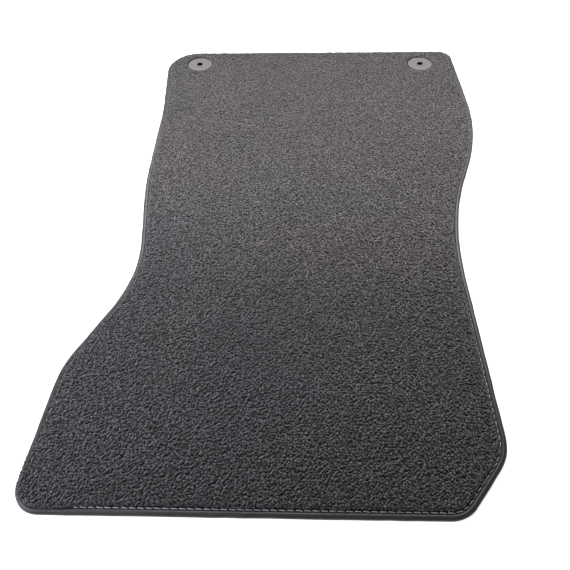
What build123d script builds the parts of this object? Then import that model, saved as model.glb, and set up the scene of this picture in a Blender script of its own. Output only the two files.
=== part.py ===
from build123d import *
import math
import os

# Carpet floor mat for a vehicle footwell: tufted carpet glued to nubbed rubber, bound with a stitched tape,
# with two plastic fasteners that drop over studs in the vehicle's floor.
# Millimetres. +Z is up with the floor at Z = 0, +Y points to the seat end that carries the fasteners, and the
# origin is under the centre of the mat's outline.

# ---- Outline -------------------------------------------------------------------------------------------------
# Corner points of the outer edge, anticlockwise from the near left, each with the radius that rounds it.
CORNERS = [
    ((-253.8, -388.5), 27.0),  # near left corner
    ((154.4, -388.5), 30.0),  # near end of the chamfer
    ((202.1, -326.5), 56.0),  # far end of the chamfer
    ((191.9, -12.5), 495.0),  # right waist
    ((255.4, 170.5), 400.0),  # right shoulder
    ((243.0, 388.5), 20.0),  # far right corner
    ((-215.4, 387.4), 49.0),  # far left corner
    ((-202.7, 230.0), 495.0),  # slight flare of the left side
    ((-201.7, 58.5), 515.0),  # start of the left waist
    ((-182.3, -106.5), 195.0),  # left waist
    ((-242.1, -233.0), 100.0),  # left knee
]

# ---- Layers, from the floor up -------------------------------------------------------------------------------
NUB_HEIGHT = 1.8
RUBBER_THICK = 1.6
LATEX_THICK = 0.6
PRIMARY_THICK = 0.6
PILE_HEIGHT = 6.0
PILE_UNDER_BINDING = 1.2  # pile pressed flat by the tape
PILE_UNDER_DISC = 2.4  # pile pressed down by a fastener disc
PILE_EDGE_ROUND = 1.5

# ---- Anti-slip nubs ------------------------------------------------------------------------------------------
NUB_PITCH = 26.0
NUB_BASE_R = 4.0
NUB_TIP_R = 3.0
NUB_EDGE_MARGIN = 16.0  # from the mat's edge to the nearest nub's centre
NUB_RING_MARGIN = 24.0  # from a fastener's centre to the nearest nub's centre

# ---- Edge binding --------------------------------------------------------------------------------------------
TAPE_THICK = 1.0
TAPE_WALL = 1.6  # at the outermost point of the rolled edge
TAPE_LEG = 8.0  # from the outer edge to the tape's inner edge, above and below
TAPE_ROUND = 2.8
TAPE_INNER_ROUND = 0.4
BUTT_GAP = 0.4  # where the two ends of the tape meet
BUTT_X = 60.0  # place of that joint on the far edge

# ---- Lock-stitch seam ----------------------------------------------------------------------------------------
STITCH_INSET = 6.3
STITCH_PITCH = 7.4
STITCH_LENGTH = 5.4
THREAD_WIDTH = 0.9
THREAD_THICK = 0.6

# ---- Fasteners -----------------------------------------------------------------------------------------------
FASTENER_CENTRES = {"left": (-160.4, 347.6), "right": (191.0, 346.0)}
DISC_R = 19.0
DISC_THICK = 2.2
DISC_EDGE_ROUND = 0.9
DISC_CLEARANCE = 0.4  # between a disc's rim and the pile round it
SOCKET_R = 4.6
SOCKET_LIP_R = 6.6
SOCKET_LIP_HEIGHT = 0.4
SOCKET_CHAMFER = 0.4
BARREL_R = 7.4
BARREL_HOLE_R = 7.8
BARREL_BORE_R = 6.0
SNAP_R = 8.3
SNAP_HEIGHT = 0.7
FINGER_GAP = 1.6
FINGER_COUNT = 4
RING_OUTER_R = 15.0
RING_THICK = 1.4
RING_BORE_R = 7.6
RING_RECESS_R = 8.5
RING_ROUND = 0.5

# ---- Levels worked out from the layers -----------------------------------------------------------------------
RUBBER_LOW = NUB_HEIGHT
LATEX_LOW = RUBBER_LOW + RUBBER_THICK
PRIMARY_LOW = LATEX_LOW + LATEX_THICK
PILE_LOW = PRIMARY_LOW + PRIMARY_THICK
PILE_TOP = PILE_LOW + PILE_HEIGHT
FLANGE_TOP = PILE_LOW + PILE_UNDER_BINDING
TAPE_LOW = RUBBER_LOW - TAPE_THICK
TAPE_TOP = FLANGE_TOP + TAPE_THICK
DISC_LOW = PILE_LOW + PILE_UNDER_DISC
DISC_TOP = DISC_LOW + DISC_THICK
RING_LOW = RUBBER_LOW - RING_THICK


def outline(inset=0.0):
    """Face bounded by the mat's edge, moved inwards by inset."""
    points = [point for point, radius in CORNERS]
    radii = [radius for point, radius in CORNERS]
    face = make_face(FilletPolyline(*points, radius=radii, close=True))
    if inset:
        face = offset(face, -inset)
    return face


def prism(face, low, high):
    """Upright solid on a flat face, between two levels."""
    return extrude(Pos(0, 0, low) * face, amount=high - low)


def post(radius, low, high):
    """Upright cylinder on the Z axis, between two levels."""
    return Pos(0, 0, low) * Cylinder(radius, high - low, align=(Align.CENTER, Align.CENTER, Align.MIN))


def at_fasteners(shape):
    """The shape repeated at both fastener centres."""
    return [Pos(x, y) * shape for x, y in FASTENER_CENTRES.values()]


def punched(body):
    """The layer with the holes that the fastener barrels pass through."""
    return body - at_fasteners(post(BARREL_HOLE_R, 0, PILE_TOP))


def pile_carpet():
    """Pile, tall inside the binding, pressed into a thin flange under the tape and into seats for the discs."""
    tall = prism(outline(TAPE_LEG), PILE_LOW, PILE_TOP)
    tall = fillet(tall.faces().sort_by(Axis.Z)[-1].edges(), PILE_EDGE_ROUND)
    flange = prism(outline(TAPE_WALL), PILE_LOW, FLANGE_TOP)
    seats = at_fasteners(post(DISC_R + DISC_CLEARANCE, DISC_LOW, PILE_TOP))
    return punched(tall + flange - seats)


def flat_layer(low, thickness):
    """One even layer that ends inside the binding."""
    return punched(prism(outline(TAPE_WALL), low, low + thickness))


def nub_places():
    """Centres of the anti-slip nubs: a square grid, kept clear of the edge and of the lock rings."""
    inner = outline(NUB_EDGE_MARGIN)
    box = inner.bounding_box()
    columns = int(box.size.X / NUB_PITCH / 2)
    rows = int(box.size.Y / NUB_PITCH / 2)
    places = []
    for column in range(-columns, columns + 1):
        for row in range(-rows, rows + 1):
            place = Vector(column * NUB_PITCH, row * NUB_PITCH)
            near_ring = any((place - Vector(*c)).length < NUB_RING_MARGIN for c in FASTENER_CENTRES.values())
            if inner.face().is_inside(place) and not near_ring:
                places.append(place)
    return places


def rubber_backing():
    """Rubber slab with cone-shaped nubs that stand on the floor."""
    nub = Pos(0, 0, NUB_HEIGHT / 2) * Cone(NUB_TIP_R, NUB_BASE_R, NUB_HEIGHT)
    nubs = [Pos(place) * nub for place in nub_places()]
    return flat_layer(RUBBER_LOW, RUBBER_THICK) + nubs


def edge_binding():
    """Tape folded round the edge: a rolled outer edge with a leg above and a leg below the layers."""
    body = prism(outline(), TAPE_LOW, TAPE_TOP)
    rims = body.faces().filter_by(Axis.Z).edges()
    body = fillet(rims, TAPE_ROUND)
    body -= prism(outline(TAPE_LEG), TAPE_LOW, TAPE_TOP)
    body -= prism(outline(TAPE_WALL), RUBBER_LOW, FLANGE_TOP)
    far_edge = outline().bounding_box().max.Y
    butt = Pos(BUTT_X, far_edge, 0) * Box(BUTT_GAP, 4 * TAPE_LEG, 4 * TAPE_TOP)
    return body - butt


def stitches(low):
    """One run of stitches along the binding, lying on the given level."""
    seam = outline(STITCH_INSET).face().outer_wire()
    count = round(seam.length / STITCH_PITCH)
    dash = extrude(SlotOverall(STITCH_LENGTH, THREAD_WIDTH), amount=THREAD_THICK)
    placed = []
    for number in range(count):
        share = (number + 0.5) / count
        spot = seam.position_at(share)
        heading = seam.tangent_at(share)
        angle = math.degrees(math.atan2(heading.Y, heading.X))
        placed.append(Pos(spot.X, spot.Y, low) * Rot(0, 0, angle) * dash)
    return Compound(children=placed)


def turned(points):
    """Solid of revolution about Z from its section, given as (radius, height) points."""
    section = make_face(Polyline(*[(r, 0, z) for r, z in points], close=True))
    return revolve(section, Axis.Z)


def fastener_disc():
    """Upper plate with a raised lip round its stud hole, and a barrel that ends in snap fingers."""
    plate = post(DISC_R, DISC_LOW, DISC_TOP)
    plate = fillet(plate.edges().sort_by(Axis.Z)[-1], DISC_EDGE_ROUND)
    lip = post(SOCKET_LIP_R, DISC_LOW, DISC_TOP + SOCKET_LIP_HEIGHT)
    lip = chamfer(lip.edges().sort_by(Axis.Z)[-1], SOCKET_CHAMFER / 2)
    barrel = post(BARREL_R, RING_LOW, DISC_LOW)
    snap = turned(
        [
            (BARREL_BORE_R, RING_LOW),
            (BARREL_R, RING_LOW),
            (SNAP_R, RING_LOW + SNAP_HEIGHT),
            (BARREL_BORE_R, RING_LOW + SNAP_HEIGHT),
        ]
    )
    body = plate + lip + barrel + snap
    body -= post(BARREL_BORE_R, RING_LOW, LATEX_LOW)
    body -= post(SOCKET_R, RING_LOW, DISC_TOP + SOCKET_LIP_HEIGHT)
    slots = [
        Rot(0, 0, 360 / FINGER_COUNT * turn) * Pos(BARREL_R, 0, (RING_LOW + LATEX_LOW) / 2)
        * Box(2 * BARREL_R, FINGER_GAP, LATEX_LOW - RING_LOW)
        for turn in range(FINGER_COUNT)
    ]
    return body - slots


def lock_ring():
    """Lower ring that the barrel's fingers snap into, clamping the mat from below."""
    ring = post(RING_OUTER_R, RING_LOW, RUBBER_LOW)
    ring = fillet(ring.edges().sort_by(Axis.Z)[0], RING_ROUND)
    return ring - post(RING_BORE_R, RING_LOW, RUBBER_LOW) - post(RING_RECESS_R, RING_LOW, RING_LOW + SNAP_HEIGHT)


def nodes():
    """Every named piece of the mat."""
    pieces = {
        "pile_carpet": pile_carpet(),
        "primary_backing": flat_layer(PRIMARY_LOW, PRIMARY_THICK),
        "latex_coat": flat_layer(LATEX_LOW, LATEX_THICK),
        "rubber_backing": rubber_backing(),
        "edge_binding": edge_binding(),
        "needle_thread": stitches(TAPE_TOP),
        "bobbin_thread": stitches(TAPE_LOW - THREAD_THICK),
    }
    for side, (x, y) in FASTENER_CENTRES.items():
        pieces[f"{side}_fastener_disc"] = Pos(x, y) * fastener_disc()
        pieces[f"{side}_fastener_lock_ring"] = Pos(x, y) * lock_ring()
    return pieces


os.makedirs("parts", exist_ok=True)
for name, piece in nodes().items():
    export_step(piece, f"parts/{name}.step")
    print(name, "volume", round(piece.volume / 1000, 2), "cm3")
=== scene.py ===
import math

import bpy
import numpy as np
from mathutils import Matrix, Vector


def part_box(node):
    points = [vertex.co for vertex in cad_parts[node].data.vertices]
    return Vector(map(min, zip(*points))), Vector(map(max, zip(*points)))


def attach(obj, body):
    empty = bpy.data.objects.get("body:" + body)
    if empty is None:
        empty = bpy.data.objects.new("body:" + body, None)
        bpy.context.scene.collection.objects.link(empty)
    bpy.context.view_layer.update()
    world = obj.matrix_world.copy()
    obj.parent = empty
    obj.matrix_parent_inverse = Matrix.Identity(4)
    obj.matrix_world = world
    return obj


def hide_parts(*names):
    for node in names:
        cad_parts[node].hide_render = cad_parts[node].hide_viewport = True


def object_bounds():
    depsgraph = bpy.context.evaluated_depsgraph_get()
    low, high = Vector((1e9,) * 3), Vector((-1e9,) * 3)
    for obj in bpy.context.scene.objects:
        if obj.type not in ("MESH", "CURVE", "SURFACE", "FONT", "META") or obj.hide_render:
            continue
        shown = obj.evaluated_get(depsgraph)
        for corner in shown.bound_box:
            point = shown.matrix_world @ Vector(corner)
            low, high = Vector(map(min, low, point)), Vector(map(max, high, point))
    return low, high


# The looks of the carpet floor mat. Metres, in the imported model's frame: +Z up, +Y to the seat end.

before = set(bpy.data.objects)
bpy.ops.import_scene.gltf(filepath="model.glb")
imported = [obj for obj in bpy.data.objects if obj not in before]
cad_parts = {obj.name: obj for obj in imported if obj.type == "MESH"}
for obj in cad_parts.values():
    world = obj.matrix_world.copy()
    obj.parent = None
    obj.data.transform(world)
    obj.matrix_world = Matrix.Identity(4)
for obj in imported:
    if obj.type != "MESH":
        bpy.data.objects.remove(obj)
cad_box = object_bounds()
rng = np.random.default_rng(7)

MM = 0.001
FAR_OFF = 1e9
PATH_DETAIL = 0.5 * MM  # between the points that the edge is measured by
NOISE_CELLS = 64  # in each direction, before the noise repeats

# Corner points of the mat's outer edge, anticlockwise from the near left, each with its rounding radius.
CORNERS_MM = [
    ((-253.8, -388.5), 27.0),
    ((154.4, -388.5), 30.0),
    ((202.1, -326.5), 56.0),
    ((191.9, -12.5), 495.0),
    ((255.4, 170.5), 400.0),
    ((243.0, 388.5), 20.0),
    ((-215.4, 387.4), 49.0),
    ((-202.7, 230.0), 495.0),
    ((-201.7, 58.5), 515.0),
    ((-182.3, -106.5), 195.0),
    ((-242.1, -233.0), 100.0),
]

# Levels and centres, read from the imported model.
TAPE_LOW, TAPE_TOP = (corner.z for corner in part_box("edge_binding"))
PILE_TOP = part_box("pile_carpet")[1].z
DISCS = [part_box(f"{side}_fastener_disc") for side in ("left", "right")]
DISC_CENTRES = [((low + high) / 2).xy for low, high in DISCS]
DISC_R = (DISCS[0][1].x - DISCS[0][0].x) / 2

# Binding and seam, as in the CAD source.
TAPE_LEG = 8.0 * MM
TAPE_THICK = 1.0 * MM
TAPE_PRESSED = 0.7 * MM  # its thickness where the seam draws it down
TAPE_PRESSED_DIP = 1.4 * MM  # how far down that is
TAPE_GROOVE = (  # the flange's top, in mm: distance from the edge, and how far below the crown
    (3.7, 0.06), (4.3, 0.3), (4.7, 0.75), (5.0, 1.3),
    (5.4, 1.45), (6.3, 1.4), (7.1, 1.2), (8.0, 1.15),
)
GROOVE_FLOOR = TAPE_TOP - 1.5 * MM  # just below the flange's upper face
ROLL_SWELL = 0.4 * MM
SEAM_INSET = 6.3 * MM
SEAM_PITCH = 7.4 * MM
THREAD_R = 0.45 * MM
BUTT_X = 60 * MM
BUTT_GAP = 0.4 * MM

# The tape's fine shape.
TAPE_STEP = 1.4 * MM  # between sections along it
ROLL_ARC = np.radians(np.linspace(-90, 90, 15))  # round the rolled edge
STITCH_PULL = 0.2 * MM  # how much deeper the groove goes at a needle hole
PULL_ALONG = 1.5 * MM
PULL_ACROSS = 1.1 * MM
ROLL_WAVE = 0.22  # unevenness of the roll, in mm
ROLL_WAVE_LENGTH = 13 * MM
ROLL_WIDTH = 5 * MM  # the part of the tape that the unevenness moves

# Stitches.
STITCH_HALF = (2.75, 3.05)  # half-lengths, in mm
STITCH_STATIONS = 13
STITCH_SIDES = 8
STITCH_ARCH = 0.35 * MM  # height of a stitch's middle, and depth of its ends
STITCH_SLANT = (math.radians(7), 0.03)  # mean and spread, in radians
STITCH_LEVELS = (TAPE_TOP - 1.2 * MM, TAPE_LOW + 0.3 * MM)  # of the upper and lower seam
PLY_TWIST = 4.5

# Pile.
PILE_INSET = 7.0 * MM  # from the mat's edge to the foot of the pile, where it leans along the edge
PILE_OVERHANG = 0.9 * MM  # further out where it leans over the edge, further in where it leans away
SPLAYED = (  # where the pile is splayed out over the seam: centre, half-widths, and how far
    ((-0.245, -0.385), (0.055, 0.06), 4.0 * MM),
    ((0.245, 0.05), (0.07, 0.28), 3.5 * MM),
    ((0.0, 0.40), (0.40, 0.05), 1.0 * MM),
    ((-0.22, 0.25), (0.06, 0.20), 1.2 * MM),
)
PILE_FOOT = TAPE_TOP - 1.2 * MM
PILE_EDGE_WAVE = 0.35 * MM  # unevenness of the pile's edge
SEAT_EDGE_WAVE = 0.45 * MM
PILE_GRID = 0.55 * MM
PILE_STRIPS = 14
SHOULDER = 1.7 * MM  # over which the pile's edge rounds down
SHOULDER_DROP = 4.4 * MM
SEAT_R = DISC_R + 1.0 * MM
SEAT_SHIFT = 1.5 * MM
LEAN = np.array([-0.55, 0.83])  # the way the nap lies
TIP_MARGIN = 0.2 * MM  # from the pile's top to the highest tuft, on average

# Tufts, stamped on the pile's grid.
BUNDLE_SPACING = 2.9 * MM
BUNDLE_FALL = 0.8 * MM
BUNDLE_SHIFT = 0.32  # as a share of the spacing
TUFT_SPACING = 1.5 * MM
TUFT_SHIFT = 0.55  # as a share of the spacing
TUFT_HEADING = (math.pi / 2, 0.75)  # mean and spread
TUFT_LENGTH = (0.8 * MM, 1.45 * MM)  # half-lengths of the yarn ends
TUFT_WIDTH = (0.5 * MM, 0.75 * MM)  # half-widths
TUFT_ROUND = 1.3  # how fast a yarn end falls away from its ridge
TUFT_SLOPE = 0.16
TUFT_REACH = 3.2  # how far down a yarn end is stamped, in mm
PIT_DEPTH = 3.0 * MM
# The pits between the tufts get a tone below the tufts' mean: a little painted shade.
PIT_SHADE_TONE = 0.3
STEEPEST = 0.8 * MM  # largest step from one grid point to the next
SMOOTHING_PASSES = 4

# Loose yarn ends round the pile's edges.
STRAND_SHAPE = (  # share of the length, and of the radius
    (0.0, 0.8), (0.3, 1.0), (0.6, 1.0), (0.85, 0.8), (1.0, 0.05),
)
STRAND_SIDES = 6
STRAND_TWIST = 1.2
STRAND_LENGTH = (2.4, 4.4)  # mm
STRAND_RADIUS = (0.35, 0.62)  # mm
STRAND_INSET = (0.2, 1.3)  # mm inside the pile's edge
STRAND_PITCH = 1.0 * MM
SEAT_STRAND_PITCH = 0.8 * MM


# ---- Outline -------------------------------------------------------------------------------------
def corner_arcs():
    """The edge's corner arcs, anticlockwise: centre, radius, start, end, and the sign of its turn."""
    points = np.array([point for point, radius in CORNERS_MM]) * MM
    radii = np.array([radius for point, radius in CORNERS_MM]) * MM
    arcs = []
    neighbours = zip(np.roll(points, 1, 0), points, np.roll(points, -1, 0), radii)
    for before, here, after, radius in neighbours:
        back = (before - here) / np.linalg.norm(before - here)
        ahead = (after - here) / np.linalg.norm(after - here)
        half = math.acos(float(back @ ahead)) / 2
        centre = here + (back + ahead) / np.linalg.norm(back + ahead) * radius / math.sin(half)
        reach = radius / math.tan(half)
        turn = 1.0 if back[1] * ahead[0] - back[0] * ahead[1] > 0 else -1.0
        arcs.append((centre, radius, here + back * reach, here + ahead * reach, turn))
    return arcs


ARCS = corner_arcs()


def edge_depth(points):
    """Distance of each point inwards from the mat's outer edge; negative outside."""
    best = np.full(len(points), FAR_OFF)
    depth = np.zeros(len(points))

    def offer(distance, signed):
        closer = distance < best
        best[closer] = distance[closer]
        depth[closer] = signed[closer]

    for (centre, radius, start, end, turn), following in zip(ARCS, ARCS[1:] + ARCS[:1]):
        run = following[2] - end
        length = np.linalg.norm(run)
        run = run / length
        inward = np.array([-run[1], run[0]])
        offset = points - end
        along = np.clip(offset @ run, 0, length)
        gap = np.linalg.norm(offset - along[:, None] * run, axis=1)
        offer(gap, np.where(offset @ inward > 0, gap, -gap))
        spoke = points - centre
        reach = np.linalg.norm(spoke, axis=1)
        middle = (start + end) / 2 - centre
        within = spoke @ middle >= reach * (middle @ middle) / radius
        offer(np.where(within, np.abs(radius - reach), FAR_OFF), turn * (radius - reach))
    return depth


def edge_path(inset, step):
    """Evenly spaced points along the edge moved inwards, and their outward normals."""
    dense, normals = [], []
    for (centre, radius, start, end, turn), following in zip(ARCS, ARCS[1:] + ARCS[:1]):
        first = math.atan2(*(start - centre)[::-1])
        sweep = (math.atan2(*(end - centre)[::-1]) - first + math.pi) % (2 * math.pi) - math.pi
        count = max(3, int(abs(sweep) * radius / PATH_DETAIL))
        angles = first + sweep * np.linspace(0, 1, count)
        spokes = np.stack([np.cos(angles), np.sin(angles)], 1)
        dense.append(centre + spokes * (radius - turn * inset))
        normals.append(turn * spokes)
        run = following[2] - end
        length = np.linalg.norm(run)
        outward = np.array([run[1], -run[0]]) / length
        shares = np.linspace(0, 1, max(3, int(length / PATH_DETAIL)))[1:-1]
        dense.append(end + shares[:, None] * run - outward * inset)
        normals.append(np.tile(outward, (len(shares), 1)))
    dense, normals = np.vstack(dense), np.vstack(normals)
    closed = np.vstack([dense, dense[:1]])
    reach = np.concatenate([[0], np.cumsum(np.linalg.norm(np.diff(closed, axis=0), axis=1))])
    count = int(round(reach[-1] / step))
    spots = np.arange(count) * reach[-1] / count
    pick = [np.interp(spots, reach, np.append(column, column[0])) for column in (*dense.T, *normals.T)]
    points, normals = np.stack(pick[:2], 1), np.stack(pick[2:], 1)
    return points, normals / np.linalg.norm(normals, axis=1)[:, None]


# ---- Noise ---------------------------------------------------------------------------------------
def smooth_noise(points, scale, seed):
    """Smooth random values from -1 to 1, with features about as large as scale."""
    source = np.random.default_rng(seed)
    table = source.uniform(-1, 1, (NOISE_CELLS, NOISE_CELLS))
    cell = points / scale + NOISE_CELLS // 2
    base = np.floor(cell).astype(int)
    part = cell - base
    part = part * part * (3 - 2 * part)
    x, y = base[:, 0] % NOISE_CELLS, base[:, 1] % NOISE_CELLS
    x1, y1 = (x + 1) % NOISE_CELLS, (y + 1) % NOISE_CELLS
    low = table[x, y] * (1 - part[:, 0]) + table[x1, y] * part[:, 0]
    high = table[x, y1] * (1 - part[:, 0]) + table[x1, y1] * part[:, 0]
    return low * (1 - part[:, 1]) + high * part[:, 1]


# ---- Meshes --------------------------------------------------------------------------------------
def new_object(name, points, faces, attributes=None, normals=None):
    """Mesh object from numpy arrays of points and of faces that all have the same number of corners."""
    mesh = bpy.data.meshes.new(name)
    sides = faces.shape[1]
    mesh.vertices.add(len(points))
    mesh.vertices.foreach_set("co", np.asarray(points, np.float32).ravel())
    mesh.loops.add(faces.size)
    mesh.loops.foreach_set("vertex_index", faces.astype(np.int32).ravel())
    mesh.polygons.add(len(faces))
    mesh.polygons.foreach_set("loop_start", np.arange(0, faces.size, sides, dtype=np.int32))
    mesh.polygons.foreach_set("use_smooth", np.ones(len(faces), bool))
    mesh.update(calc_edges=True)
    for key, values in (attributes or {}).items():
        attribute = mesh.attributes.new(key, "FLOAT", "POINT")
        attribute.data.foreach_set("value", np.asarray(values, np.float32))
    if normals is not None:
        mesh.normals_split_custom_set_from_vertices([tuple(n) for n in normals])
    made = bpy.data.objects.new(name, mesh)
    bpy.context.scene.collection.objects.link(made)
    return made


def tube_faces(rings, sides):
    """Quads between consecutive rings of a tube."""
    ring, side = np.meshgrid(np.arange(rings - 1), np.arange(sides), indexing="ij")
    beside = (side + 1) % sides
    here, there = ring * sides, (ring + 1) * sides
    corners = [here + side, there + side, there + beside, here + beside]
    return np.stack([corner.ravel() for corner in corners], 1)


def closed_tube_faces(rings, sides):
    """Quads of a tube with both ends filled; it has an even number of sides."""
    fan = np.array([(0, side, side + 1, side + 2) for side in range(1, sides - 1, 2)])
    return np.vstack([tube_faces(rings, sides), fan, fan[:, ::-1] + (rings - 1) * sides])


# ---- Materials -----------------------------------------------------------------------------------
class Nodes:
    """A short way to write a material's nodes."""

    def __init__(self, name, **surface):
        self.material = bpy.data.materials.new(name)
        self.material.use_nodes = True
        self.tree = self.material.node_tree
        self.shader = self.tree.nodes["Principled BSDF"]
        for socket, value in surface.items():
            self.shader.inputs[socket.replace("_", " ")].default_value = value

    def add(self, kind, inputs=(), **settings):
        node = self.tree.nodes.new(kind)
        for key, value in settings.items():
            setattr(node, key, value)
        for socket, value in dict(inputs).items():
            if isinstance(value, bpy.types.NodeSocket):
                self.tree.links.new(value, node.inputs[socket])
            else:
                node.inputs[socket].default_value = value
        return node

    def place(self):
        return self.add("ShaderNodeTexCoord").outputs["Object"]

    def attribute(self, name):
        return self.add("ShaderNodeAttribute", attribute_name=name).outputs["Fac"]

    def noise(self, scale, detail=2.0, vector=None, roughness=0.5):
        place = vector or self.place()
        inputs = {"Scale": scale, "Detail": detail, "Roughness": roughness, "Vector": place}
        return self.add("ShaderNodeTexNoise", inputs).outputs["Fac"]

    def voronoi(self, scale):
        inputs = {"Scale": scale, "Vector": self.place()}
        return self.add("ShaderNodeTexVoronoi", inputs).outputs["Distance"]

    def math(self, operation, a, b=0.0, c=0.0):
        return self.add("ShaderNodeMath", {0: a, 1: b, 2: c}, operation=operation).outputs[0]

    def ramp(self, value, *stops):
        node = self.add("ShaderNodeValToRGB", {"Fac": value})
        elements = node.color_ramp.elements
        while len(elements) < len(stops):
            elements.new(0.5)
        for element, (position, colour) in zip(elements, stops):
            element.position = position
            element.color = (*colour, 1.0)
        return node.outputs["Color"]

    def mix(self, share, a, b, blend="MIX"):
        node = self.add("ShaderNodeMix", data_type="RGBA", blend_type=blend)
        for index, value in ((0, share), (6, a), (7, b)):
            if isinstance(value, bpy.types.NodeSocket):
                self.tree.links.new(value, node.inputs[index])
            else:
                node.inputs[index].default_value = value if index == 0 else (*value, 1.0)
        return node.outputs[2]

    def spread(self, value, low, high):
        node = self.add("ShaderNodeMapRange", {"Value": value, "To Min": low, "To Max": high})
        return node.outputs["Result"]

    def surface(self, **links):
        for socket, value in links.items():
            self.tree.links.new(value, self.shader.inputs[socket.replace("_", " ")])

    def bump(self, height, distance, strength):
        inputs = {"Height": height, "Distance": distance, "Strength": strength}
        self.surface(Normal=self.add("ShaderNodeBump", inputs).outputs["Normal"])


def pile_material():
    """Cut velour yarn, with painted shade making it dark between the tufts and paler at their tips, softly
    shining, faintly clouded.

    Painted light: the near end is coloured darker and bluer, and the far half paler, warmer and flatter in
    tone, as if lit more from the far side; the right side is a little warmer.
    """
    m = Nodes(
        "pile_yarn", Roughness=0.9, Specular_IOR_Level=0.12, Sheen_Weight=0.8, Sheen_Roughness=0.5,
    )
    m.shader.inputs["Sheen Tint"].default_value = (1.0, 0.97, 0.96, 1.0)
    spot = m.add("ShaderNodeSeparateXYZ", {"Vector": m.place()})
    drift = m.math("SUBTRACT", m.noise(7, 2.0), 0.5)
    wavy = m.math("MULTIPLY_ADD", drift, 0.09, spot.outputs["Y"])
    far_share = m.math("MULTIPLY_ADD", wavy, 1.25, 0.5)
    fibre = m.noise(1500, 2.0)
    fuzz = m.math("MULTIPLY", m.math("SUBTRACT", fibre, 0.5), 0.3)
    # The depth attribute carries painted shade: low in the pits between the tufts, at the pile's rounded
    # edge and at the roots of the loose yarn ends.
    depth = m.math("ADD", m.attribute("depth"), fuzz)
    # Painted light: towards the far end the painted pit shade fades, so the far half is flatter in tone.
    flattened = m.math("MAXIMUM", m.spread(far_share, -0.10, 0.42), 0.0)
    level = m.math("MULTIPLY_ADD", m.math("SUBTRACT", 0.69, depth), flattened, depth)
    # This ramp paints that shade: near black where depth is low, paler towards the tips.
    yarn_with_painted_pit_shade = m.ramp(
        level,
        (0.10, (0.0015, 0.0015, 0.0015)),
        (0.38, (0.008, 0.008, 0.0085)),
        (0.66, (0.052, 0.052, 0.054)),
        (0.92, (0.175, 0.175, 0.181)),
    )
    tone = m.spread(m.attribute("tone"), 0.6, 1.45)
    cloud = m.spread(m.noise(9, 3.0), 0.86, 1.14)
    lay = m.add("ShaderNodeMapping", {"Vector": m.place(), "Scale": (4.0, 38.0, 1.0)})
    streaks = m.noise(1.0, 2.0, lay.outputs["Vector"])
    # Painted light: darker and bluer at the near end, paler and warmer further off, as if lit more from the
    # far side.
    painted_light_gradient = m.ramp(
        far_share,
        (0.02, (0.58, 0.58, 0.61)),
        (0.08, (0.76, 0.76, 0.80)),
        (0.20, (0.87, 0.87, 0.91)),
        (0.33, (0.96, 0.96, 0.99)),
        (0.43, (1.42, 1.41, 1.38)),
        (0.53, (1.62, 1.60, 1.55)),
        (0.70, (1.45, 1.42, 1.37)),
        (0.95, (1.22, 1.19, 1.19)),
    )
    shade = m.math("MULTIPLY", tone, m.math("MULTIPLY", cloud, m.spread(streaks, 0.84, 1.16)))
    grey = m.add("ShaderNodeCombineColor", {"Red": shade, "Green": shade, "Blue": shade})
    warmth = m.math("MULTIPLY_ADD", spot.outputs["X"], 0.5, m.noise(5, 2.0))
    tint = m.ramp(warmth, (0.36, (0.98, 0.99, 1.05)), (0.64, (1.06, 1.0, 0.95)))
    painted_light_and_warmth = m.mix(1.0, painted_light_gradient, tint, "MULTIPLY")
    shaded = m.mix(1.0, yarn_with_painted_pit_shade, grey.outputs["Color"], "MULTIPLY")
    m.surface(Base_Color=m.mix(1.0, shaded, painted_light_and_warmth, "MULTIPLY"))
    m.bump(m.noise(2600, 2.0), 0.0004, 0.6)
    return m.material


def cloth_material():
    """The pressed pile and cloth seen at the foot of the tufts."""
    m = Nodes("pressed_pile", Roughness=0.95, Specular_IOR_Level=0.1)
    grain = m.noise(900, 3.0)
    m.surface(Base_Color=m.ramp(grain, (0.35, (0.008, 0.008, 0.009)), (0.7, (0.03, 0.03, 0.032))))
    m.bump(grain, 0.0006, 0.8)
    return m.material


def binding_material():
    """Imitation leather tape: fine grain, satin, in faint random patches."""
    m = Nodes("grained_tape", Specular_IOR_Level=0.38)
    grain = m.voronoi(1300)
    pores = m.noise(3200, 2.0)
    patches = m.noise(60, 3.0)
    m.surface(Base_Color=m.ramp(patches, (0.3, (0.033, 0.033, 0.035)), (0.7, (0.049, 0.048, 0.050))))
    m.surface(Roughness=m.spread(m.noise(400, 3.0), 0.34, 0.5))
    m.bump(m.math("ADD", grain, m.math("MULTIPLY", pores, 0.4)), 0.00012, 0.5)
    return m.material


def thread_material():
    """Twisted polyester, light grey, a little uneven along its length."""
    m = Nodes("seam_thread", Roughness=0.55, Specular_IOR_Level=0.4, Sheen_Weight=0.2, Sheen_Roughness=0.4)
    shade = m.noise(700, 2.0)
    m.surface(Base_Color=m.ramp(shade, (0.3, (0.42, 0.42, 0.43)), (0.7, (0.66, 0.66, 0.66))))
    m.bump(m.noise(5000, 1.0), 0.0001, 0.6)
    return m.material


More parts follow.
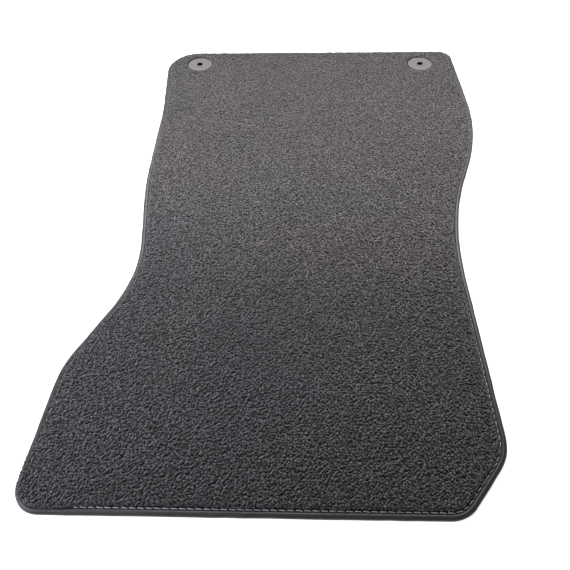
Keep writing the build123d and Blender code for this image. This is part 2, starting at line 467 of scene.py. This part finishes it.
def plastic_material(name, centre):
    """Moulded light grey plastic, satin, with painted highlights on its raised rims and the bore for the
    stud painted black as shade.
    """
    m = Nodes(name, Specular_IOR_Level=0.45)
    level = {0: m.place(), 1: (1.0, 1.0, 0.0)}
    flat = m.add("ShaderNodeVectorMath", level, operation="MULTIPLY").outputs[0]
    spoke = m.add("ShaderNodeVectorMath", {0: flat, 1: (*centre, 0.0)}, operation="DISTANCE")
    # Painted light: near black inside the bore, where shade falls, and paler on the raised rims round the
    # hole and at the edge, where light catches them.
    rim_highlights_and_bore_shade = m.ramp(
        m.math("DIVIDE", spoke.outputs["Value"], DISC_R),
        (0.245, (0.03, 0.03, 0.03)),
        (0.255, (1.1, 1.1, 1.1)),
        (0.34, (1.12, 1.12, 1.12)),
        (0.37, (0.93, 0.93, 0.93)),
        (0.93, (0.97, 0.97, 0.97)),
        (0.98, (1.08, 1.08, 1.08)),
    )
    haze = m.noise(120, 4.0, roughness=0.65)
    plastic = m.ramp(haze, (0.3, (0.108, 0.105, 0.110)), (0.7, (0.138, 0.134, 0.140)))
    m.surface(Base_Color=m.mix(1.0, plastic, rim_highlights_and_bore_shade, "MULTIPLY"))
    m.surface(Roughness=m.spread(m.noise(300, 3.0), 0.42, 0.6))
    m.bump(m.noise(4500, 2.0), 0.00004, 0.4)
    return m.material


def rubber_material():
    """Dull black moulded rubber with a bloom and a leathery mould texture."""
    m = Nodes("backing_rubber", Specular_IOR_Level=0.35)
    bloom = m.noise(35, 4.0)
    m.surface(Base_Color=m.ramp(bloom, (0.35, (0.010, 0.010, 0.010)), (0.75, (0.022, 0.022, 0.022))))
    m.surface(Roughness=m.spread(bloom, 0.62, 0.85))
    m.bump(m.voronoi(700), 0.0002, 0.5)
    return m.material


def latex_material():
    """Rolled-on latex coat."""
    m = Nodes("latex_film", Roughness=0.7)
    patches = m.noise(200, 3.0)
    m.surface(Base_Color=m.ramp(patches, (0.3, (0.035, 0.034, 0.031)), (0.7, (0.06, 0.058, 0.052))))
    m.bump(m.noise(500, 3.0), 0.0002, 0.5)
    return m.material


def woven_material():
    """Plain-woven primary cloth."""
    m = Nodes("woven_cloth", Roughness=0.85)
    warp = m.add("ShaderNodeTexWave", {"Scale": 260.0, "Vector": m.place()}, bands_direction="X")
    weft = m.add("ShaderNodeTexWave", {"Scale": 260.0, "Vector": m.place()}, bands_direction="Y")
    weave = m.math("MAXIMUM", warp.outputs["Fac"], weft.outputs["Fac"])
    m.surface(Base_Color=m.ramp(weave, (0.3, (0.012, 0.012, 0.012)), (0.9, (0.035, 0.035, 0.035))))
    m.bump(weave, 0.0003, 0.7)
    return m.material


# ---- Pile ----------------------------------------------------------------------------------------
def bundle_distance(points):
    """Distance of each point to the middle of the nearest bundle of yarn, in bundle spacings."""
    cells = np.floor(points / BUNDLE_SPACING).astype(int)
    shift = rng.uniform(-BUNDLE_SHIFT, BUNDLE_SHIFT, (*(cells.max(0) + 3), 2))
    nearest = np.full(len(points), FAR_OFF)
    for step_x in (-1, 0, 1):
        for step_y in (-1, 0, 1):
            x, y = cells[:, 0] + step_x, cells[:, 1] + step_y
            middle = np.column_stack([x, y]) + 0.5 + shift[x, y]
            gap = np.linalg.norm(points / BUNDLE_SPACING - middle, axis=1)
            nearest = np.minimum(nearest, gap)
    return nearest


def splay(points, normals):
    """How much further out than usual the pile reaches, at places along the edge."""
    reach = (normals @ LEAN) * PILE_OVERHANG + PILE_EDGE_WAVE * smooth_noise(points, 28 * MM, 17)
    for centre, half, extra in SPLAYED:
        reach = reach + extra * np.exp(-((((points - centre) / half) ** 2).sum(1) ** 2))
    return reach


def stamp_tufts(shape):
    """Height below the pile's top, and tone, on a grid.

    Each yarn end is a small rounded ridge lying its own way. The first pass finds the highest ridge at
    each grid point, and the second gives the point that ridge's tone.
    """
    rows, columns = shape
    across = int(columns * PILE_GRID / TUFT_SPACING) + 2
    along = int(rows * PILE_GRID / TUFT_SPACING) + 2
    column, row = np.meshgrid(np.arange(across), np.arange(along))
    shift = rng.uniform(-TUFT_SHIFT, TUFT_SHIFT, (across * along, 2))
    centres = (np.stack([column.ravel(), row.ravel()], 1) + shift) * TUFT_SPACING
    count = len(centres)
    heading = rng.normal(*TUFT_HEADING, count)
    length = rng.uniform(*TUFT_LENGTH, count)
    width = rng.uniform(*TUFT_WIDTH, count)
    sunk = rng.gamma(2.0, 0.22, count) * MM
    top = -sunk - BUNDLE_FALL * (bundle_distance(centres) / 0.5) ** 2
    tone = rng.beta(2.2, 2.6, count)
    slope = rng.normal(0, TUFT_SLOPE, count)
    height = np.full(shape, -PIT_DEPTH)
    tones = np.full(shape, PIT_SHADE_TONE)
    base = np.round(centres / PILE_GRID).astype(int)
    reach = int(TUFT_LENGTH[1] / PILE_GRID) + 1
    for giving_tone in (False, True):
        for step_x in range(-reach, reach + 1):
            for step_y in range(-reach, reach + 1):
                x, y = base[:, 0] + step_x, base[:, 1] + step_y
                inside = (x >= 0) & (x < columns) & (y >= 0) & (y < rows)
                dx = x * PILE_GRID - centres[:, 0]
                dy = y * PILE_GRID - centres[:, 1]
                u = dx * np.cos(heading) + dy * np.sin(heading)
                v = dy * np.cos(heading) - dx * np.sin(heading)
                fall = (u / length) ** 2 * TUFT_ROUND + (v / width) ** 2 * TUFT_ROUND
                value = top + slope * u - fall * MM
                inside &= fall < TUFT_REACH
                if giving_tone:
                    reached = height[np.clip(y, 0, rows - 1), np.clip(x, 0, columns - 1)]
                    inside &= value >= reached - 1e-9
                    tones[y[inside], x[inside]] = tone[inside]
                else:
                    np.maximum.at(height, (y[inside], x[inside]), value[inside])
    for _ in range(SMOOTHING_PASSES):
        for axis, way in ((0, 1), (0, -1), (1, 1), (1, -1)):
            height = np.maximum(height, np.roll(height, way, axis) - STEEPEST)
    return height, tones


def pile_field():
    """The pile's surface as a grid over the mat: places, heights, inside or not, painted shade, tone, size.
    """
    low = np.array(cad_box[0].xy)
    size = np.array((cad_box[1] - cad_box[0]).xy)
    columns, rows = (int(s / PILE_GRID) + 2 for s in size)
    height, tones = stamp_tufts((rows, columns))
    gx, gy = np.meshgrid(np.arange(columns), np.arange(rows))
    flat = np.stack([gx.ravel(), gy.ravel()], 1) * PILE_GRID + low
    depth = edge_depth(flat)
    inward = np.gradient(depth.reshape(rows, columns), PILE_GRID)
    depth += splay(flat, -np.stack([inward[1].ravel(), inward[0].ravel()], 1)) - PILE_INSET
    depth += PILE_EDGE_WAVE * smooth_noise(flat, 2.2 * MM, 11)
    for centre in DISC_CENTRES:
        seat = np.array(centre) + LEAN * SEAT_SHIFT
        radial = np.linalg.norm(flat - seat, axis=1) - SEAT_R
        depth = np.minimum(depth, radial + SEAT_EDGE_WAVE * smooth_noise(flat, 1.8 * MM, 12))
    shoulder = np.clip(depth / SHOULDER, 0, 1)
    drop = (1 - shoulder) ** 1.5 * SHOULDER_DROP
    swell = 0.25 * MM * smooth_noise(flat, 45 * MM, 5) + 0.15 * MM * smooth_noise(flat, 14 * MM, 6)
    z = PILE_TOP - TIP_MARGIN + height.ravel() + swell - drop
    z = np.clip(z, PILE_FOOT, PILE_TOP)
    inside = depth > 0
    # Painted shade: the pits between the tufts get low values and the tips high ones, and the pile's rounded
    # edge is made darker still.
    darkest_and_palest = np.percentile(height, (6, 97))
    shade = np.interp(height.ravel(), darkest_and_palest, (0, 1)) * (0.3 + 0.7 * shoulder)
    grid = (rows, columns)
    return flat, z, inside.reshape(grid), shade, tones.ravel(), grid


def grid_normals(z, grid):
    """Normals of a height grid, the same on both sides of every strip's edge."""
    dy, dx = np.gradient(z.reshape(grid), PILE_GRID)
    normals = np.stack([-dx.ravel(), -dy.ravel(), np.ones(z.size)], 1)
    return normals / np.linalg.norm(normals, axis=1)[:, None]


def build_pile(material):
    """The tufted surface, in strips along the mat that meet without a seam."""
    flat, z, inside, shade, tones, grid = pile_field()
    normals = grid_normals(z, grid)
    keep = inside[:-1, :-1] & inside[1:, :-1] & inside[:-1, 1:] & inside[1:, 1:]
    row, column = np.nonzero(keep)
    width = grid[1]
    corner = row * width + column
    quads = np.stack([corner, corner + 1, corner + width + 1, corner + width], 1)
    bands = np.minimum(column * PILE_STRIPS // width, PILE_STRIPS - 1)
    points = np.column_stack([flat, z])
    strips = []
    for band in range(PILE_STRIPS):
        faces = quads[bands == band]
        used, local = np.unique(faces, return_inverse=True)
        # The depth attribute carries that painted shade.
        strip = new_object(
            f"pile_strip_{band + 1}", points[used], local.reshape(faces.shape),
            {"depth": shade[used], "tone": tones[used]}, normals[used],
        )
        strip.data.materials.append(material)
        strips.append(strip)
    return strips


def edge_tufts(name, roots, outward, lean_out, material):
    """Loose yarn ends that hang out from the pile's side wall, so its edge is ragged."""
    count = len(roots)
    length = rng.uniform(*STRAND_LENGTH, count) * MM
    aim = outward * rng.normal(lean_out, 0.22, count)[:, None]
    aim = aim + LEAN * rng.uniform(0.1, 0.5, count)[:, None]
    aim += rng.normal(0, 0.28, (count, 2))
    start = roots - outward * rng.uniform(*STRAND_INSET, count)[:, None] * MM
    foot = PILE_FOOT + rng.uniform(0.0, 1.2, count) * MM
    radius = rng.uniform(*STRAND_RADIUS, count) * MM
    rings, depth = [], []
    for level, size in STRAND_SHAPE:
        height = foot + length * level * (1 - 0.3 * level)
        centre = np.column_stack([start + aim * (length * level**1.5)[:, None], height])
        for side in range(STRAND_SIDES):
            angle = 2 * math.pi * side / STRAND_SIDES + level * STRAND_TWIST
            spoke = [np.cos(angle) * radius, np.sin(angle) * radius, 0 * radius]
            shift = np.column_stack(spoke) * size
            rings.append(centre + shift)
            # Painted shade: each loose yarn end is coloured darker at its root, in the pile, and paler
            # towards its tip.
            depth.append(np.full(count, 0.1 + 0.75 * level))
    points = np.stack(rings, 1).reshape(-1, 3)
    points[:, 2] = np.minimum(points[:, 2], PILE_TOP)
    per = STRAND_SIDES * len(STRAND_SHAPE)
    faces = closed_tube_faces(len(STRAND_SHAPE), STRAND_SIDES)
    whole = (faces[None] + (np.arange(count) * per)[:, None, None]).reshape(-1, 4)
    tone = np.repeat(rng.uniform(0, 1, count), per)
    attributes = {"depth": np.stack(depth, 1).ravel(), "tone": tone}
    made = new_object(name, points, whole, attributes)
    made.data.materials.append(material)
    return made


def build_edge_tufts(material):
    """Ragged yarn round the mat's edge and round both fastener seats."""
    made = []
    for name, inset, lean_out in (("low", PILE_INSET, 0.25), ("high", PILE_INSET + 0.9 * MM, 0.1)):
        roots, normals = edge_path(inset, STRAND_PITCH)
        roots = roots + normals * splay(roots, normals)[:, None]
        made.append(edge_tufts(f"pile_edge_tufts_{name}", roots, normals, lean_out, material))
    seats = []
    for centre in DISC_CENTRES:
        angles = np.arange(0, 2 * math.pi, SEAT_STRAND_PITCH / SEAT_R)
        spokes = np.stack([np.cos(angles), np.sin(angles)], 1)
        seats.append((np.array(centre) + LEAN * SEAT_SHIFT + spokes * SEAT_R, -spokes))
    roots, inward = (np.vstack(part) for part in zip(*seats))
    made.append(edge_tufts("pile_seat_tufts", roots, inward, 0.25, material))
    return made


def build_cloth(material):
    """The carpet's cloth with its pile pressed flat, under the binding and at the foot of the tufts."""
    step = 4 * MM
    overlap = 0.6 * MM
    low, high = np.array(cad_box[0].xy), np.array(cad_box[1].xy)
    xs, ys = np.arange(low[0], high[0] + step, step), np.arange(low[1], high[1] + step, step)
    gx, gy = np.meshgrid(xs, ys)
    points = np.stack([gx.ravel(), gy.ravel()], 1)
    depth = edge_depth(points) - (TAPE_LEG - overlap)
    shape = gx.shape
    wanted = (depth > -step).reshape(shape)
    keep = wanted[:-1, :-1] & wanted[1:, :-1] & wanted[:-1, 1:] & wanted[1:, 1:]
    row, column = np.nonzero(keep)
    corner = row * shape[1] + column
    quads = np.stack([corner, corner + 1, corner + shape[1] + 1, corner + shape[1]], 1)
    used, local = np.unique(quads, return_inverse=True)
    flat = points[used]
    outside = np.maximum(-depth[used], 0)
    sides = ((MM, 0), (-MM, 0), (0, MM), (0, -MM))
    slope = np.stack([edge_depth(flat + shift) for shift in sides])
    inward = np.stack([slope[0] - slope[1], slope[2] - slope[3]], 1)
    inward /= np.linalg.norm(inward, axis=1)[:, None] + 1e-12
    flat = flat + inward * outside[:, None]
    z = np.full(len(flat), PILE_FOOT) + 0.1 * MM * smooth_noise(flat, 9 * MM, 21)
    made = new_object("carpet_cloth", np.column_stack([flat, z]), local.reshape(quads.shape))
    made.data.materials.append(material)
    return made


# ---- Binding and seam ----------------------------------------------------------------------------
def tape_profile():
    """The folded tape's section as (inset, height) points: the outside, then the inside in reverse."""
    middle = (TAPE_LOW + TAPE_TOP) / 2
    roll = (TAPE_TOP - TAPE_LOW) / 2
    leg = np.array([8.0, 6.3, 4.4]) * MM
    across, up = np.cos(ROLL_ARC), np.sin(ROLL_ARC)
    turned = np.column_stack([roll - (roll + ROLL_SWELL) * across, middle + roll * up])
    groove = np.array(TAPE_GROOVE) * MM
    top = np.column_stack([groove[:, 0], TAPE_TOP - groove[:, 1]])
    outside = np.vstack([np.column_stack([leg, np.full(3, TAPE_LOW)]), turned, top])
    hollow = roll - TAPE_THICK
    within = np.column_stack([roll - hollow * across, middle + hollow * up])
    thick = np.interp(groove[:, 1], (0, TAPE_PRESSED_DIP), (TAPE_THICK, TAPE_PRESSED))
    lining = np.column_stack([top[:, 0], top[:, 1] - thick])
    inside = np.vstack([np.column_stack([leg, np.full(3, TAPE_LOW + TAPE_THICK)]), within, lining])
    return np.vstack([outside, inside[::-1]])


def build_binding(material):
    """The tape swept round the edge, drawn down a little at each needle hole, with a butt joint."""
    path, normals = edge_path(0, TAPE_STEP)
    start = int(np.argmin(np.abs(path[:, 0] - BUTT_X) + 10 * (path[:, 1] < 0)))
    path, normals = np.roll(path, -start, 0), np.roll(normals, -start, 0)
    last = 1 - BUTT_GAP / TAPE_STEP
    path = np.vstack([path, path[-1] + (path[0] - path[-1]) * last])
    normals = np.vstack([normals, normals[-1]])
    reach = np.arange(len(path)) * TAPE_STEP
    seam = edge_path(SEAM_INSET, SEAM_PITCH)[0]
    holes = (seam + np.roll(seam, -1, 0)) / 2
    over_seam = path - normals * SEAM_INSET
    nearest = np.linalg.norm(over_seam[:, None] - holes[None], axis=2).min(1)
    stitch = np.exp(-((nearest / PULL_ALONG) ** 2))
    profile = tape_profile()
    near_seam = np.exp(-(((profile[:, 0] - SEAM_INSET) / PULL_ACROSS) ** 2))
    pull = near_seam * (profile[:, 1] > GROOVE_FLOOR)
    crown = np.clip(1 - profile[:, 0] / ROLL_WIDTH, 0, 1)
    line = np.column_stack([reach, reach * 0])
    wave = ROLL_WAVE * smooth_noise(line, ROLL_WAVE_LENGTH, 31)[:, None] * MM
    inset = profile[None, :, 0] - crown * wave
    z = profile[None, :, 1] - STITCH_PULL * pull * stitch[:, None] + 0.3 * crown * wave
    xy = path[:, None, :] - normals[:, None, :] * inset[:, :, None]
    points = np.concatenate([xy, np.maximum(z, TAPE_LOW)[:, :, None]], 2).reshape(-1, 3)
    sides = len(profile)
    rim = np.arange(sides // 2 - 1)
    end = np.column_stack([rim, rim + 1, sides - 2 - rim, sides - 1 - rim])
    far_end = end[:, ::-1] + (len(path) - 1) * sides
    faces = np.vstack([tube_faces(len(path), sides), end, far_end])
    made = new_object("binding_tape", points, faces)
    made.data.materials.append(material)
    return made


def build_seam(name, level, up, material):
    """Every stitch as a short length of twisted two-ply thread that dips into its needle holes."""
    path, normals = edge_path(SEAM_INSET, SEAM_PITCH)
    count = len(path)
    along = np.column_stack([-normals[:, 1], normals[:, 0]])
    slant = STITCH_SLANT[0] + rng.normal(0, STITCH_SLANT[1], count)
    along = along * np.cos(slant)[:, None] + normals * np.sin(slant)[:, None]
    side_way = np.column_stack([-along[:, 1], along[:, 0]])
    half = rng.uniform(*STITCH_HALF, count) * MM
    points = []
    for s in np.linspace(-1, 1, STITCH_STATIONS):
        dive = (abs(s) > 0.85) * STITCH_ARCH
        lift = STITCH_ARCH * (1 - s**2) ** 0.6 - dive - 0.1 * MM
        for k in range(STITCH_SIDES):
            angle = 2 * math.pi * k / STITCH_SIDES
            lobe = THREAD_R * (0.82 + 0.28 * abs(math.cos(angle + PLY_TWIST * s)))
            centre = path + along * (half * s)[:, None]
            xy = centre + side_way * (lobe * math.cos(angle))
            rise = lift + lobe * math.sin(angle) * 0.8 + THREAD_R * 0.5
            points.append(np.column_stack([xy, np.full(count, level + up * rise)]))
    points = np.stack(points, 1).reshape(-1, 3)
    faces = closed_tube_faces(STITCH_STATIONS, STITCH_SIDES)
    per = STITCH_STATIONS * STITCH_SIDES
    whole = (faces[None] + (np.arange(count) * per)[:, None, None]).reshape(-1, 4)
    made = new_object(name, points, whole)
    made.data.materials.append(material)
    return made


# ---- Put it together -----------------------------------------------------------------------------
pile_look = pile_material()
strips = build_pile(pile_look)
ragged = build_edge_tufts(pile_look)
cloth = build_cloth(cloth_material())
binding = build_binding(binding_material())
thread_look = thread_material()
top_seam = build_seam("seam_thread_top", STITCH_LEVELS[0], 1, thread_look)
under_seam = build_seam("seam_thread_under", STITCH_LEVELS[1], -1, thread_look)

for piece in (*strips, *ragged, cloth, binding, top_seam, under_seam):
    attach(piece, "root")
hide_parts("pile_carpet")
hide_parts("edge_binding")
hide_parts("needle_thread")
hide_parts("bobbin_thread")

edge = edge_path(TAPE_LEG, 1 * MM)[0]

left_plastic = plastic_material("left_fastener_plastic", DISC_CENTRES[0])
right_plastic = plastic_material("right_fastener_plastic", DISC_CENTRES[1])
LOOKS = {
    "primary_backing": woven_material(),
    "latex_coat": latex_material(),
    "rubber_backing": rubber_material(),
    "left_fastener_disc": left_plastic,
    "right_fastener_disc": right_plastic,
    "left_fastener_lock_ring": left_plastic,
    "right_fastener_lock_ring": right_plastic,
}
for node, look in LOOKS.items():
    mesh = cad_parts[node].data
    mesh.materials.clear()
    mesh.materials.append(look)


# ---- Studio --------------------------------------------------------------------------------------
def build_floor():
    """Plain white floor."""
    half = 6.0
    points = half * np.array([(-1, -1, 0), (1, -1, 0), (1, 1, 0), (-1, 1, 0)])
    floor = new_object("studio_floor", points, np.array([[0, 1, 2, 3]]))
    m = Nodes("floor_white", Roughness=0.9, Specular_IOR_Level=0.1)
    m.shader.inputs["Base Color"].default_value = (0.92, 0.92, 0.92, 1)
    m.shader.inputs["Emission Color"].default_value = (1.0, 1.0, 1.0, 1)
    m.shader.inputs["Emission Strength"].default_value = 0.9
    floor.data.materials.append(m.material)


def soft_light(name, place, target, size, power, spread, colour):
    """A large soft lamp; spread is in degrees."""
    data = bpy.data.lights.new(name, "AREA")
    data.shape = "RECTANGLE"
    data.size, data.size_y = size
    data.energy = power
    data.spread = math.radians(spread)
    data.color = colour
    lamp = bpy.data.objects.new(name, data)
    lamp.location = place
    lamp.rotation_euler = (Vector(target) - Vector(place)).to_track_quat("-Z", "Y").to_euler()
    bpy.context.scene.collection.objects.link(lamp)


def build_camera():
    """A hand-held view from the near end, a little to the right of the middle."""
    pitch, roll, yaw = math.radians(48.93), math.radians(1.82), math.radians(2.81)
    data = bpy.data.cameras.new("camera")
    data.lens, data.sensor_width = 41.68, 36.0
    data.clip_start, data.clip_end = 0.01, 50.0
    camera = bpy.data.objects.new("camera", data)
    tilt = Matrix.Rotation(math.pi / 2 - pitch, 4, "X") @ Matrix.Rotation(-roll, 4, "Z")
    turn = Matrix.Rotation(yaw, 4, "Z") @ tilt
    camera.matrix_world = Matrix.Translation((0.0124, -0.6135, 0.5738)) @ turn
    bpy.context.scene.collection.objects.link(camera)
    bpy.context.scene.camera = camera


def build_world():
    """A pale backdrop all round that gives only a faint even light."""
    world = bpy.data.worlds.new("studio_world")
    world.use_nodes = True
    tree = world.node_tree
    faint = tree.nodes["Background"]
    faint.inputs["Color"].default_value = (0.96, 0.98, 1.0, 1)
    faint.inputs["Strength"].default_value = 0.09
    backdrop = tree.nodes.new("ShaderNodeBackground")
    backdrop.inputs["Color"].default_value = (1.0, 1.0, 1.0, 1)
    backdrop.inputs["Strength"].default_value = 0.97
    rays = tree.nodes.new("ShaderNodeLightPath")
    both = tree.nodes.new("ShaderNodeMixShader")
    tree.links.new(rays.outputs["Is Camera Ray"], both.inputs[0])
    tree.links.new(faint.outputs[0], both.inputs[1])
    tree.links.new(backdrop.outputs[0], both.inputs[2])
    tree.links.new(both.outputs[0], tree.nodes["World Output"].inputs["Surface"])
    bpy.context.scene.world = world
    bpy.context.scene.view_settings.view_transform = "Standard"


build_floor()
soft_light(
    "back_softbox", place=(0.0, 0.75, 0.75), target=(0.0, 0.16, 0.0), size=(1.4, 0.5),
    power=5.8, spread=70, colour=(1.0, 0.955, 0.97),
)
soft_light(
    "front_softbox", place=(-0.64, -0.40, 0.38), target=(-0.15, -0.3, 0.0), size=(0.5, 0.5),
    power=4.7, spread=180, colour=(0.88, 0.94, 1.0),
)
build_camera()
build_world()
